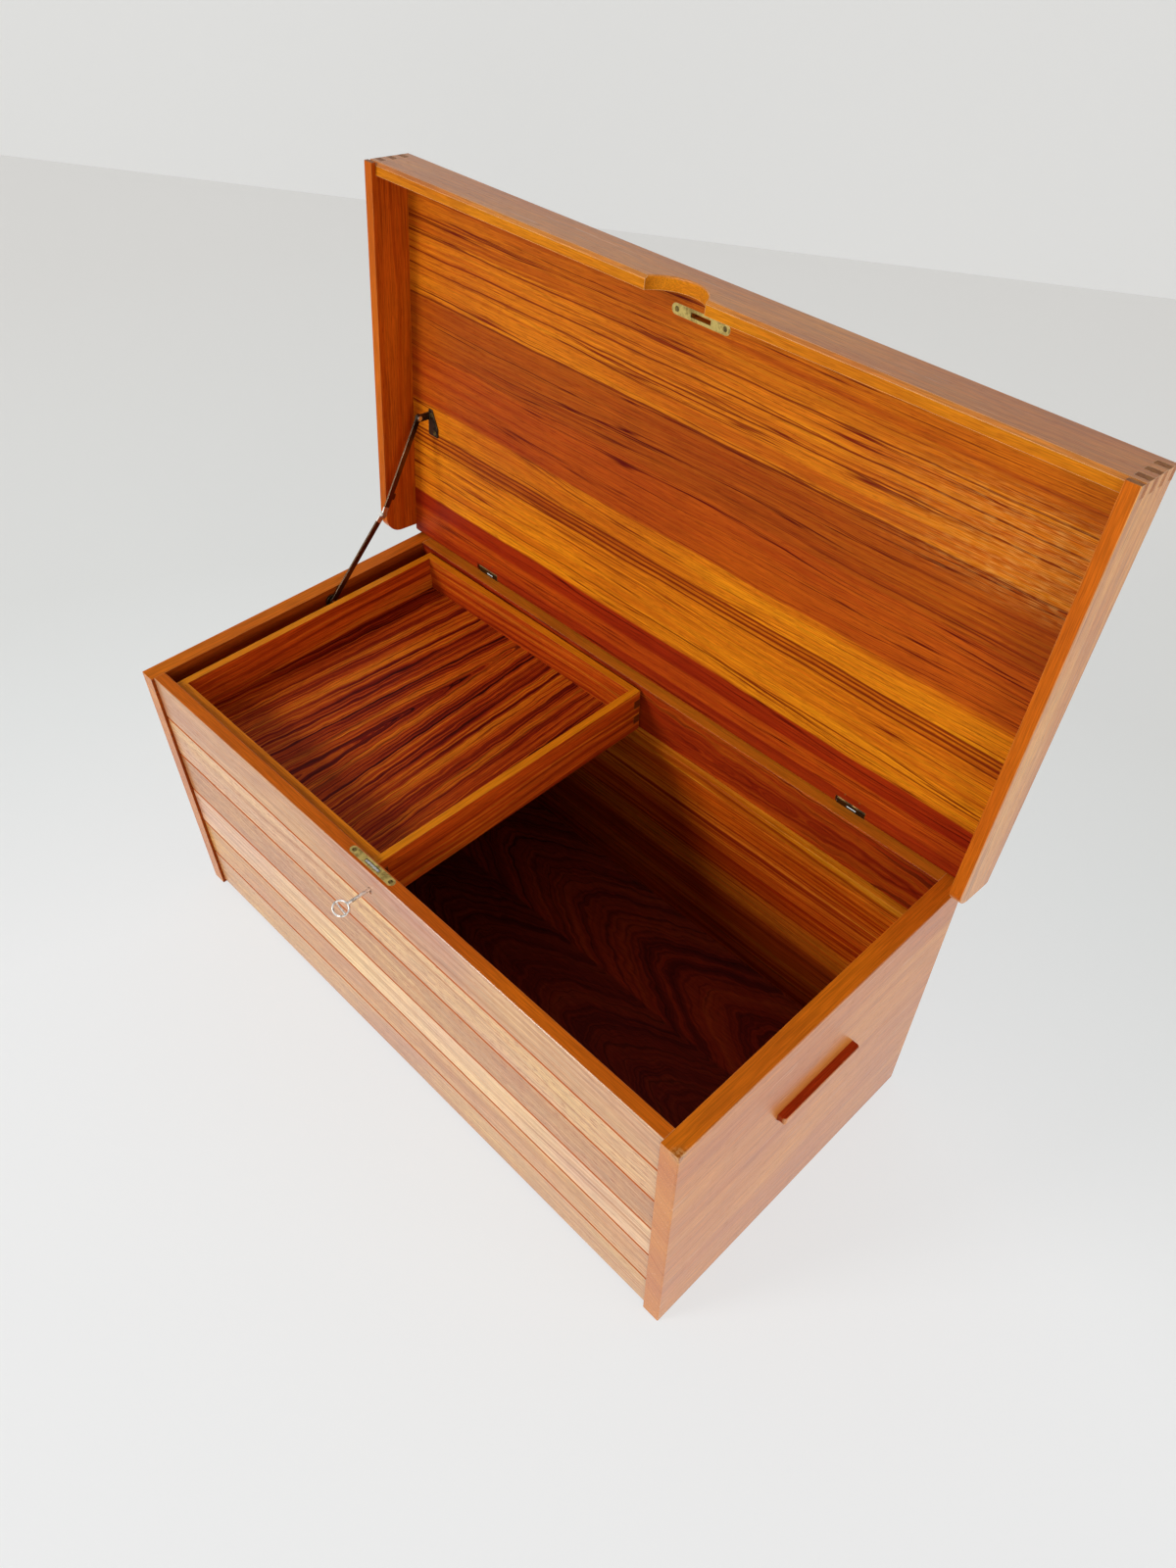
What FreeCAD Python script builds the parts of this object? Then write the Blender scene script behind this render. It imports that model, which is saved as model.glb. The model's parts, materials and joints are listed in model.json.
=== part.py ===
import FreeCAD, Part
import Sketcher
import os
import re

# A blanket chest: two solid side panels, a boarded front, a cap lid with a stay, a lock with its key
# and a sliding tray. X runs along the chest, Y from front to back, Z up from the floor. The lid's
# pieces are drawn shut and then turned open about the hinges, as the chest stands in use.

doc = FreeCAD.newDocument("Chest")
sheet = doc.addObject("Spreadsheet::Sheet", "Sizes")

# Driving dimensions in millimetres, angles in degrees
SIZES = {
    # The case
    "body_width": 940,
    "body_depth": 460,
    "body_height": 406,
    "origin_behind_middle": 8,
    "side_thickness": 23,
    "side_edge_round": 1.5,
    "front_thickness": 16,
    "front_setback": 4,
    "front_lift": 4,
    "board_count": 6,
    "groove_bevel": 2,
    "tongue_thickness": 5,
    "tongue_length": 6,
    "tongue_room": 0.5,
    "end_tongue_thickness": 8,
    "end_tongue_length": 8,
    "end_tongue_stop": 12,
    "back_rail_thickness": 18,
    "back_rail_height": 85,
    "back_panel_thickness": 12,
    "back_panel_lift": 4,
    "bottom_thickness": 10,
    "bottom_lift": 18,
    "bottom_tongue_length": 6,
    "top_arris": 0.8,
    # Runners and tray
    "runner_width": 10,
    "runner_height": 15,
    "runner_drop": 70,
    "tray_short_of_middle": 1.5,
    "tray_height": 64,
    "tray_wall": 10.5,
    "tray_from_left": 21,
    "tray_side_room": 2.5,
    "tray_seat_room": 0.3,
    "tray_bottom_thickness": 6,
    "tray_bottom_lift": 8,
    "tray_groove": 5,
    "tray_finger_count": 5,
    # Grip ledges
    "ledge_length": 130,
    "ledge_projection": 10.5,
    "ledge_height": 11,
    "ledge_drop": 131,
    "ledge_tongue_height": 6,
    "ledge_tongue_length": 7,
    "ledge_cove": 4,
    "ledge_end_round": 4,
    "ledge_edge_round": 1.2,
    # The lid
    "lid_side_overhang": 19,
    "lid_front_overhang": 25,
    "lid_room": 0.5,
    "lid_panel_thickness": 13,
    "lid_rail_thickness": 14,
    "lid_rail_depth": 52,
    "lid_front_rail_lift": 6,
    "lid_finger_count": 7,
    "lid_tongue_thickness": 5,
    "lid_tongue_length": 6,
    "lid_rail_inset": 4,
    "lid_rail_back_round": 26,
    "lid_rail_top_round": 4,
    "lid_bevel": 3.5,
    "lid_edge_round": 1,
    "lid_open_angle": 96,
    "scallop_width": 80,
    "scallop_rise": 27.5,
    "scallop_round": 2,
    # Hinges
    "hinge_from_end": 154,
    "hinge_length": 40,
    "hinge_behind": 1,
    "eye_radius": 4.5,
    "eye_room": 0.25,
    "hinge_pin_radius": 2,
    "running_room": 0.06,
    "leaf_thickness": 2,
    "leaf_width": 16,
    "leaf_room": 0.1,
    "knuckle_room": 1,
    "leaf_screw_spread": 13,
    "leaf_brad_spread": 10,
    "brad_radius": 0.8,
    "brad_length": 10.5,
    # Screws
    "screw_shank": 1.5,
    "screw_head": 3,
    "screw_head_height": 1.4,
    "screw_length": 11,
    "screw_slot_width": 0.7,
    "screw_slot_depth": 0.6,
    "screw_room": 0.05,
    # Lid stay
    "stay_arm_length": 139,
    "stay_arm_width": 8,
    "stay_arm_thickness": 2,
    "stay_eye_radius": 5,
    "stay_rivet_radius": 2,
    "stay_rivet_head": 3.6,
    "stay_rivet_head_height": 0.9,
    "stay_pivot_drop": 18,
    "stay_stretch_share": 0.9928,
    "stay_room": 0.4,
    "stay_bracket_thickness": 2.5,
    "stay_bracket_width": 18,
    "stay_bracket_height": 34,
    "stay_plate_length": 35,
    "stay_plate_width": 18,
    "stay_plate_thickness": 2,
    "stay_tab_length": 9,
    "stay_tab_rise": 4,
    "stay_tab_back": 24,
    # Lock and key
    "lock_back": 13.5,
    "lock_plate_length": 77,
    "lock_plate_width": 10,
    "lock_plate_thickness": 2,
    "lock_screw_spread": 32.5,
    "lock_case_length": 52,
    "lock_case_thickness": 8,
    "lock_case_wall": 1.8,
    "bolt_length": 24,
    "bolt_thickness": 3,
    "bolt_room": 0.7,
    "bolt_below_plate": 0.5,
    "bolt_over_key": 1,
    "keyhole_drop": 33,
    "keyhole_room": 0.7,
    "key_shaft_radius": 2.1,
    "key_tip_back": 15,
    "key_reach": 26,
    "key_bow_radius": 9,
    "key_bow_wire": 1.3,
    "key_bow_bar_share": 0.8,
    "key_bit_length": 8,
    "key_bit_thickness": 2.4,
    "key_bit_depth": 3,
    "key_turned": 60,
    "keeper_length": 79,
    "keeper_width": 11.5,
    "keeper_slot_length": 27,
    "keeper_slot_width": 5,
    "keeper_mortise_depth": 10,
    # All cuts run past their piece by this much
    "overrun": 5,
}

# Places worked out from the driving dimensions
PLACES = {
    "left": "-body_width / 2",
    "right": "body_width / 2",
    "inside_left": "left + side_thickness",
    "inside_right": "right - side_thickness",
    "front": "-body_depth / 2 - origin_behind_middle",
    "back": "front + body_depth",
    "top": "body_height",
    "board_front": "front + front_setback",
    "board_back": "board_front + front_thickness",
    "board_height": "(body_height - front_lift) / board_count",
    "end_tongue_front": "board_back - end_tongue_thickness",
    "rail_front": "back - back_rail_thickness",
    "rail_foot": "top - back_rail_height",
    "back_panel_back": "rail_front + back_panel_thickness",
    "rail_tongue_back": "back_panel_back",
    "rail_tongue_front": "rail_tongue_back - end_tongue_thickness",
    "bottom_foot": "bottom_lift",
    "bottom_top": "bottom_lift + bottom_thickness",
    "runner_top": "top - runner_drop",
    "tray_left_end": "inside_left + tray_from_left",
    "tray_right_end": "(inside_left + inside_right) / 2 - tray_short_of_middle",
    "tray_front_end": "board_back + tray_side_room",
    "tray_back_end": "rail_front - tray_side_room",
    "tray_foot": "runner_top + tray_seat_room",
    "tray_top": "tray_foot + tray_height",
    "tray_finger": "tray_height / tray_finger_count",
    "ledge_top": "top - ledge_drop",
    "ledge_middle": "front + body_depth / 2",
    "ledge_front": "ledge_middle - ledge_length / 2",
    "ledge_back": "ledge_middle + ledge_length / 2",
    "ledge_tongue_front": "ledge_front + ledge_end_round",
    "ledge_tongue_back": "ledge_back - ledge_end_round",
    "ledge_tongue_foot": "ledge_top - (ledge_height + ledge_tongue_height) / 2",
    "lid_inner": "top + lid_room",
    "lid_top": "lid_inner + lid_panel_thickness",
    "lid_rail_foot": "lid_inner - lid_rail_depth",
    "front_rail_foot": "lid_rail_foot + lid_front_rail_lift",
    "lid_left": "left - lid_side_overhang",
    "lid_right": "right + lid_side_overhang",
    "lid_front": "front - lid_front_overhang",
    "lid_rail_back": "back - lid_rail_inset",
    "lid_inside_left": "lid_left + lid_rail_thickness",
    "lid_inside_right": "lid_right - lid_rail_thickness",
    "lid_inside_front": "lid_front + lid_rail_thickness",
    "lid_tongue_foot": "lid_inner + (lid_panel_thickness - lid_tongue_thickness) / 2",
    "lid_tongue_top": "lid_tongue_foot + lid_tongue_thickness",
    "lid_finger": "(lid_top - front_rail_foot) / lid_finger_count",
    "hinge_y": "back + hinge_behind",
    "hinge_z": "lid_inner + lid_panel_thickness / 2",
    "scallop_radius": "(scallop_width ^ 2 / 4 + scallop_rise ^ 2) / (2 * scallop_rise)",
    "eye_length": "(hinge_length - 2 * eye_room) / 3",
    "eye_bore": "hinge_pin_radius + running_room",
    "notch_front": "hinge_y - eye_radius - knuckle_room",
    "body_leaf_foot": "top - leaf_width",
    "body_leaf_front": "back - leaf_thickness",
    "lid_leaf_back": "notch_front",
    "lid_leaf_front": "lid_leaf_back - leaf_width",
    "lid_leaf_foot": "hinge_z - leaf_thickness / 2",
    "lid_leaf_top": "hinge_z + leaf_thickness / 2",
    "stay_pivot_z": "top - stay_pivot_drop",
    "stay_reach": "stay_stretch_share * stay_arm_length / sin(lid_open_angle / 2)",
    "stay_pivot_y": "hinge_y - sqrt(stay_reach ^ 2 - (hinge_z - stay_pivot_z) ^ 2)",
    "stay_slope": "atan((hinge_z - stay_pivot_z) / (hinge_y - stay_pivot_y)) / 1deg",
    "stay_chord": "2 * stay_reach * sin(lid_open_angle / 2)",
    "stay_chord_angle": "90 - lid_open_angle / 2 + stay_slope",
    "stay_bend": "acos(stay_chord / 2 / stay_arm_length) / 1deg",
    "lower_arm_angle": "stay_chord_angle - stay_bend",
    "upper_arm_angle": "stay_chord_angle + stay_bend + lid_open_angle - 180",
    "stay_bracket_face": "inside_left + stay_bracket_thickness",
    "lower_arm_left": "stay_bracket_face + stay_room",
    "lower_arm_right": "lower_arm_left + stay_arm_thickness",
    "upper_arm_left": "lower_arm_right + stay_room",
    "upper_arm_right": "upper_arm_left + stay_arm_thickness",
    "lug_left": "upper_arm_right + stay_room",
    "lug_right": "lug_left + stay_plate_thickness",
    "lock_y": "front + lock_back",
    "lock_plate_foot": "top - lock_plate_thickness",
    "case_front": "lock_y - lock_case_thickness / 2",
    "case_back": "lock_y + lock_case_thickness / 2",
    "keyhole_height": "top - keyhole_drop",
    "case_foot": "keyhole_height - key_bit_length - keyhole_room - bolt_room - lock_case_wall",
    "bolt_foot": "keyhole_height + key_bit_length + bolt_over_key",
    "bolt_slot_front": "lock_y - bolt_thickness / 2 - bolt_room",
    "bolt_slot_back": "lock_y + bolt_thickness / 2 + bolt_room",
    "bolt_slot_end": "bolt_length / 2 + bolt_room",
    "keyhole_radius": "key_shaft_radius + keyhole_room",
    "keeper_foot": "lid_inner + lock_plate_thickness",
}

words = set(SIZES) | set(PLACES)


def full(text):
    """An expression with each word of the sheet written in full, such as Sizes.side_thickness."""
    return re.sub(r"[a-z_]\w*", lambda word: "Sizes." + word[0] if word[0] in words else word[0], text)


def amount(text):
    """The number that an expression gives now."""
    return float(sheet.evalExpression(full(text)))


def bind(thing, sizes):
    """Tie properties of a thing to expressions in the sheet's words."""
    for place, text in sizes.items():
        thing.setExpression(place, full(text))


for row, (word, value) in enumerate(SIZES.items(), 1):
    sheet.set(f"A{row}", word)
    sheet.set(f"B{row}", str(value))
    sheet.setAlias(f"B{row}", word)
for row, (word, text) in enumerate(PLACES.items(), 1):
    sheet.set(f"D{row}", word)
    sheet.set(f"E{row}", "=" + text)
    sheet.setAlias(f"E{row}", word)
doc.recompute()

nodes = []
OPEN = "placement(vector(0; 0; 0); rotation(vector(1; 0; 0); -lid_open_angle); vector(0; hinge_y; hinge_z))"
ALONG = {"x": FreeCAD.Rotation(FreeCAD.Vector(0, 1, 0), 90),
         "y": FreeCAD.Rotation(FreeCAD.Vector(1, 0, 0), -90),
         "z": FreeCAD.Rotation()}


def new_piece(label, on_lid=False):
    """An empty body for one piece, opened with the lid if it sits on it."""
    piece = doc.addObject("PartDesign::Body", label)
    piece.Label = label
    if on_lid:
        bind(piece, {"Placement": OPEN})
    nodes.append(piece)
    doc.recompute()
    return piece


def block(piece, name, x, y, z, cut=False):
    """A box in or out of a piece, given by its two ends along each axis."""
    box = piece.newObject("PartDesign::SubtractiveBox" if cut else "PartDesign::AdditiveBox", name)
    for axis, size, (start, end) in zip("xyz", ("Length", "Width", "Height"), (x, y, z)):
        bind(box, {"Placement.Base." + axis: start, size: f"({end}) - ({start})"})
    return box


def rod(piece, name, axis, place, length, radius, cut=False):
    """A round bar or bore that starts at a place and runs along one axis."""
    bar = piece.newObject("PartDesign::SubtractiveCylinder" if cut else "PartDesign::AdditiveCylinder", name)
    bar.Placement.Rotation = ALONG[axis]
    bind(bar, {"Radius": radius, "Height": length})
    bind(bar, {"Placement.Base." + letter: text for letter, text in zip("xyz", place)})
    return bar


def sink(piece, name, x, y, mouth, head_up=True):
    """The countersunk hole of a screw through a plate, or on into the wood under it."""
    cone = piece.newObject("PartDesign::SubtractiveCone", name)
    narrow, wide = "screw_shank + screw_room", "screw_head + screw_room"
    foot = f"({mouth}) - screw_head_height" if head_up else mouth
    bind(cone, {"Radius1": narrow if head_up else wide, "Radius2": wide if head_up else narrow,
                "Height": "screw_head_height", "Placement.Base.x": x, "Placement.Base.y": y,
                "Placement.Base.z": foot})


def outline(piece, name, plane, level, points):
    """A closed sketch of straight lines on one of the piece's own planes, at a level along its normal."""
    sketch = piece.newObject("Sketcher::SketchObject", name)
    flat = next(feature for feature in piece.Origin.OriginFeatures if feature.Role == plane + "_Plane")
    sketch.AttachmentSupport = [(flat, "")]
    sketch.MapMode = "FlatFace"
    bind(sketch, {"AttachmentOffset.Base.z": level})
    corners = [FreeCAD.Vector(amount(across), amount(up), 0) for across, up in points]
    count = len(corners)
    for index in range(count):
        sketch.addGeometry(Part.LineSegment(corners[index], corners[(index + 1) % count]))
    for index in range(count):
        sketch.addConstraint(Sketcher.Constraint("Coincident", index, 2, (index + 1) % count, 1))
    for index, (across, up) in enumerate(points):
        rules = (("DistanceX", corners[index].x, across), ("DistanceY", corners[index].y, up))
        for kind, value, text in rules:
            rule = sketch.addConstraint(Sketcher.Constraint(kind, index, 1, value))
            bind(sketch, {f"Constraints[{rule}]": text})
    return sketch


def pad(piece, name, sketch, length):
    """A sketch pulled out along its normal."""
    solid = piece.newObject("PartDesign::Pad", name)
    solid.Profile = sketch
    bind(solid, {"Length": length})
    return solid


def dress(piece, name, kind, size, chosen):
    """Round or bevel the edges whose middle point, in the piece's own frame, is chosen."""
    doc.recompute()
    base = piece.Tip
    own = base.Shape
    picked = []
    for index, edge in enumerate(own.Edges, 1):
        middle = edge.valueAt((edge.FirstParameter + edge.LastParameter) / 2)
        if chosen(middle, edge):
            picked.append(f"Edge{index}")
    feature = piece.newObject("PartDesign::" + kind, name)
    feature.Base = (base, picked)
    bind(feature, {"Radius" if kind == "Fillet" else "Size": size})
    return feature


def near(value, text):
    """Is a coordinate on a named place?"""
    return abs(value - amount(text)) < amount("overrun") / 1000


# Case: side panels

def side_panel(label, outer, inner, sign):
    """One solid side panel, housed for the front boards, the back and the bottom."""
    panel = new_piece(label)
    low, high = sorted((outer, inner), key=amount)
    deep = f"{inner} - ({sign}) * end_tongue_length"
    housing = sorted((deep, f"{inner} + ({sign}) * overrun"), key=amount)
    block(panel, "Board", (low, high), ("front", "back"), ("0", "top"))
    block(panel, "FrontHousing", housing, ("end_tongue_front", "board_back"),
          ("front_lift", "top - end_tongue_stop"), cut=True)
    block(panel, "BackHousing", housing, ("rail_tongue_front", "rail_tongue_back"),
          ("back_panel_lift", "top - end_tongue_stop"), cut=True)
    block(panel, "BottomHousing", housing, ("board_back - bottom_tongue_length", "rail_front"),
          ("bottom_foot", "bottom_top"), cut=True)
    ledge = sorted((outer, f"{outer} + ({sign}) * ledge_tongue_length"), key=amount)
    block(panel, "LedgeGroove", ledge, ("ledge_tongue_front", "ledge_tongue_back"),
          ("ledge_tongue_foot", "ledge_tongue_foot + ledge_tongue_height"), cut=True)
    dress(panel, "EasedEdges", "Fillet", "side_edge_round",
          lambda middle, edge: near(middle.x, outer) and (near(middle.z, "top") or near(middle.y, "front")
                                                          or near(middle.y, "back")))
    return panel


left_panel = side_panel("left_side_panel", "left", "inside_left", "1")
right_panel = side_panel("right_side_panel", "right", "inside_right", "-1")

# Case: front boards, each tongued into the one above and housed in the side panels

def front_board(number):
    """One board of the front, counted from the floor up."""
    board = new_piece(f"front_board_{number}")
    is_top = number == amount("board_count")
    foot = f"(front_lift + {number - 1} * board_height)"
    head = f"(front_lift + {number} * board_height)"
    middle = "(board_front + board_back) / 2"
    points = [("board_front", f"{foot} + groove_bevel"), ("board_front + groove_bevel", foot)]
    if number > 1:
        points += [(f"{middle} - tongue_thickness / 2", foot),
                   (f"{middle} - tongue_thickness / 2", f"{foot} + tongue_length + tongue_room"),
                   (f"{middle} + tongue_thickness / 2", f"{foot} + tongue_length + tongue_room"),
                   (f"{middle} + tongue_thickness / 2", foot)]
    points.append(("board_back", foot))
    if is_top:
        points += [("board_back", head), ("board_front + top_arris", head),
                   ("board_front", f"{head} - top_arris")]
    else:
        points += [("board_back", head), (f"{middle} + tongue_thickness / 2", head),
                   (f"{middle} + tongue_thickness / 2", f"{head} + tongue_length"),
                   (f"{middle} - tongue_thickness / 2", f"{head} + tongue_length"),
                   (f"{middle} - tongue_thickness / 2", head),
                   ("board_front + groove_bevel", head), ("board_front", f"{head} - groove_bevel")]
    pad(board, "Board", outline(board, "Section", "YZ", "inside_left", points), "inside_right - inside_left")
    tongue_head = f"{head} - end_tongue_stop" if is_top else head
    for name, ends in (("LeftTongue", ("inside_left - end_tongue_length", "inside_left")),
                       ("RightTongue", ("inside_right", "inside_right + end_tongue_length"))):
        block(board, name, ends, ("end_tongue_front", "board_back"), (foot, tongue_head))
    if number == 1:
        block(board, "BottomGroove", ("inside_left - end_tongue_length", "inside_right + end_tongue_length"),
              ("board_back - bottom_tongue_length", "board_back + overrun"), ("bottom_foot", "bottom_top"),
              cut=True)
    return board


boards = [front_board(number) for number in range(1, int(amount("board_count")) + 1)]
top_board = boards[-1]

# Lock in the top board: a case let in from the top edge, its face plate, bolt and key

def round_ended(piece, name, axis_y, foot, head, length, width, cut=False):
    """A plate along X with round ends, or the recess for one."""
    half = f"({length} - {width}) / 2"
    block(piece, name, (f"-{half}", half), (f"{axis_y} - {width} / 2", f"{axis_y} + {width} / 2"),
          (foot, head), cut)
    for side, place in (("Left", f"-{half}"), ("Right", half)):
        rod(piece, name + side, "z", (place, axis_y, foot), f"({head}) - ({foot})", f"{width} / 2", cut)


def keyhole(piece, front_face, back_face):
    """A round hole for the key's shaft with a slot under it for the bit."""
    rod(piece, "Keyhole", "y", ("0", front_face, "keyhole_height"), f"({back_face}) - ({front_face})",
        "keyhole_radius", cut=True)
    half_slot = "(key_bit_thickness + keyhole_room) / 2"
    block(piece, "KeySlot", ("-" + half_slot, half_slot), (front_face, back_face),
          ("keyhole_height - key_bit_length - keyhole_room", "keyhole_height"), cut=True)


round_ended(top_board, "PlateRecess", "lock_y", "lock_plate_foot", "top + overrun",
            "lock_plate_length", "lock_plate_width", cut=True)
block(top_board, "CaseMortise", ("-lock_case_length / 2", "lock_case_length / 2"), ("case_front", "case_back"),
      ("case_foot", "top"), cut=True)
keyhole(top_board, "board_front - overrun", "case_front + overrun")
for side in (-1, 1):
    rod(top_board, "PlateScrewHole", "z",
        (f"{side} * lock_screw_spread", "lock_y", "top - screw_length - screw_room"), "screw_length",
        "screw_shank + screw_room", cut=True)

lock_case = new_piece("lock_case")
block(lock_case, "Case", ("-lock_case_length / 2", "lock_case_length / 2"), ("case_front", "case_back"),
      ("case_foot", "lock_plate_foot"))
block(lock_case, "Inside", ("-bolt_slot_end", "bolt_slot_end"), ("bolt_slot_front", "bolt_slot_back"),
      ("case_foot + lock_case_wall", "lock_plate_foot + overrun"), cut=True)
keyhole(lock_case, "case_front - overrun", "lock_y")

lock_plate = new_piece("lock_face_plate")
round_ended(lock_plate, "Plate", "lock_y", "lock_plate_foot", "top", "lock_plate_length", "lock_plate_width")
block(lock_plate, "BoltSlot", ("-bolt_slot_end", "bolt_slot_end"), ("bolt_slot_front", "bolt_slot_back"),
      ("lock_plate_foot - overrun", "top + overrun"), cut=True)
for side in (-1, 1):
    place = f"{side} * lock_screw_spread"
    sink(lock_plate, "Countersink", place, "lock_y", "top")
    rod(lock_plate, "ScrewHole", "z", (place, "lock_y", "lock_plate_foot - overrun"),
        "lock_plate_thickness + overrun", "screw_shank + screw_room", cut=True)

lock_bolt = new_piece("lock_bolt")
block(lock_bolt, "Bolt", ("-bolt_length / 2", "bolt_length / 2"),
      ("lock_y - bolt_thickness / 2", "lock_y + bolt_thickness / 2"), ("bolt_foot", "top - bolt_below_plate"))
dress(lock_bolt, "EasedTop", "Fillet", "bolt_thickness / 8",
      lambda middle, edge: near(middle.z, "top - bolt_below_plate"))

key = new_piece("key")
bow_middle = "(front - key_reach - key_bow_radius)"
rod(key, "Shaft", "y", ("0", f"{bow_middle} + key_bow_radius", "keyhole_height"),
    f"front + key_tip_back - ({bow_middle}) - key_bow_radius", "key_shaft_radius")
block(key, "Bit", ("-key_bit_thickness / 2", "key_bit_thickness / 2"),
      ("front + key_tip_back - key_bit_depth", "front + key_tip_back"),
      ("keyhole_height - key_bit_length", "keyhole_height"))
bow = key.newObject("PartDesign::AdditiveTorus", "Bow")
bow.Placement.Rotation = ALONG["x"]
bind(bow, {"Radius1": "key_bow_radius", "Radius2": "key_bow_wire", "Placement.Base.y": bow_middle,
           "Placement.Base.z": "keyhole_height"})
rod(key, "BowBar", "z", ("0", bow_middle, "keyhole_height - key_bow_radius"), "2 * key_bow_radius",
    "key_bow_bar_share * key_bow_wire")
bind(key, {"Placement": "placement(vector(0; 0; 0); rotation(vector(0; 1; 0); -key_turned); "
                        "vector(0; 0; keyhole_height))"})

# Case: back, bottom and tray runners

back_rail = new_piece("back_rail")
block(back_rail, "Rail", ("inside_left", "inside_right"), ("rail_front", "back"), ("rail_foot", "top"))
back_panel = new_piece("back_panel")
block(back_panel, "Panel", ("inside_left", "inside_right"), ("rail_front", "back_panel_back"),
      ("back_panel_lift", "rail_foot"))
rail_joint = ("rail_tongue_front", "rail_tongue_back - tongue_room")
block(back_panel, "TopTongue", ("inside_left", "inside_right"), rail_joint,
      ("rail_foot", "rail_foot + tongue_length"))
block(back_rail, "FootGroove", ("inside_left", "inside_right"), rail_joint,
      ("rail_foot", "rail_foot + tongue_length + tongue_room"), cut=True)
for piece, foot, head in ((back_rail, "rail_foot + tongue_length + tongue_room", "top - end_tongue_stop"),
                          (back_panel, "back_panel_lift", "rail_foot")):
    for name, ends in (("LeftTongue", ("inside_left - end_tongue_length", "inside_left")),
                       ("RightTongue", ("inside_right", "inside_right + end_tongue_length"))):
        block(piece, name, ends, ("rail_tongue_front", "rail_tongue_back"), (foot, head))
dress(back_rail, "EasedTop", "Fillet", "top_arris",
      lambda middle, edge: near(middle.z, "top") and near(middle.y, "rail_front"))

bottom = new_piece("bottom_panel")
block(bottom, "Panel", ("inside_left - end_tongue_length", "inside_right + end_tongue_length"),
      ("board_back - bottom_tongue_length", "rail_front"), ("bottom_foot", "bottom_top"))

for label, near_face, far_face in (("front_tray_runner", "board_back", "board_back + runner_width"),
                                   ("back_tray_runner", "rail_front - runner_width", "rail_front")):
    runner = new_piece(label)
    block(runner, "Runner", ("inside_left", "inside_right"), (near_face, far_face),
          ("runner_top - runner_height", "runner_top"))
    inner_arris = near_face if label.startswith("back") else far_face
    dress(runner, "EasedArris", "Fillet", "top_arris",
          lambda middle, edge: near(middle.z, "runner_top") and near(middle.y, inner_arris))

# Grip ledges, tongued into the side panels

def grip_ledge(label, outer, sign):
    """A bar along the side panel with a cove under it for the fingers."""
    ledge = new_piece(label)
    ends = sorted((outer, f"{outer} - ({sign}) * ledge_projection"), key=amount)
    tongue = sorted((outer, f"{outer} + ({sign}) * ledge_tongue_length"), key=amount)
    block(ledge, "Bar", ends, ("ledge_front", "ledge_back"), ("ledge_top - ledge_height", "ledge_top"))
    cove_start = (f"{outer} - ({sign}) * ledge_projection / 2", "ledge_front - overrun",
                  "ledge_top - ledge_height - ledge_cove / 2")
    rod(ledge, "Cove", "y", cove_start, "ledge_length + 2 * overrun", "ledge_cove", cut=True)
    block(ledge, "Tongue", tongue, ("ledge_tongue_front", "ledge_tongue_back"),
          ("ledge_tongue_foot", "ledge_tongue_foot + ledge_tongue_height"))
    face = f"{outer} - ({sign}) * ledge_projection"
    dress(ledge, "RoundEnds", "Fillet", "ledge_end_round",
          lambda middle, edge: near(middle.x, face) and (near(middle.y, "ledge_front")
                                                         or near(middle.y, "ledge_back")))
    dress(ledge, "EasedTop", "Fillet", "ledge_edge_round",
          lambda middle, edge: near(middle.z, "ledge_top") and not near(middle.x, outer))
    return ledge


grip_ledge("left_grip_ledge", "left", "1")
grip_ledge("right_grip_ledge", "right", "-1")

# Tray: four finger-jointed walls and a bottom let into grooves

def tray_wall(label, x, y, along_x):
    """One wall of the tray with its fingers at both ends."""
    wall = new_piece(label)
    block(wall, "Wall", x, y, ("tray_foot", "tray_top"))
    for index in range(int(amount("tray_finger_count"))):
        if (index % 2 == 0) == along_x:
            span = (f"tray_foot + {index} * tray_finger", f"tray_foot + {index + 1} * tray_finger")
            for end in ("Start", "End"):
                run = x if along_x else y
                socket = (run[0], f"{run[0]} + tray_wall")
                if end == "End":
                    socket = (f"{run[1]} - tray_wall", run[1])
                block(wall, "Socket" + end, socket if along_x else x, y if along_x else socket, span, cut=True)
    return wall


tray_x = ("tray_left_end", "tray_right_end")
tray_y = ("tray_front_end", "tray_back_end")
inner_x = ("tray_left_end + tray_wall - tray_groove", "tray_right_end - tray_wall + tray_groove")
inner_y = ("tray_front_end + tray_wall - tray_groove", "tray_back_end - tray_wall + tray_groove")
floor_z = ("tray_foot + tray_bottom_lift", "tray_foot + tray_bottom_lift + tray_bottom_thickness")
tray_walls = [
    tray_wall("tray_left", ("tray_left_end", "tray_left_end + tray_wall"), tray_y, False),
    tray_wall("tray_right", ("tray_right_end - tray_wall", "tray_right_end"), tray_y, False),
    tray_wall("tray_front", tray_x, ("tray_front_end", "tray_front_end + tray_wall"), True),
    tray_wall("tray_back", tray_x, ("tray_back_end - tray_wall", "tray_back_end"), True),
]
for wall in tray_walls:
    block(wall, "FloorGroove", inner_x, inner_y, floor_z, cut=True)
tray_bottom = new_piece("tray_bottom")
block(tray_bottom, "Floor", inner_x, inner_y, floor_z)

# Lid, drawn shut: panel, front rail and side rails with finger joints at the front corners

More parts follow.
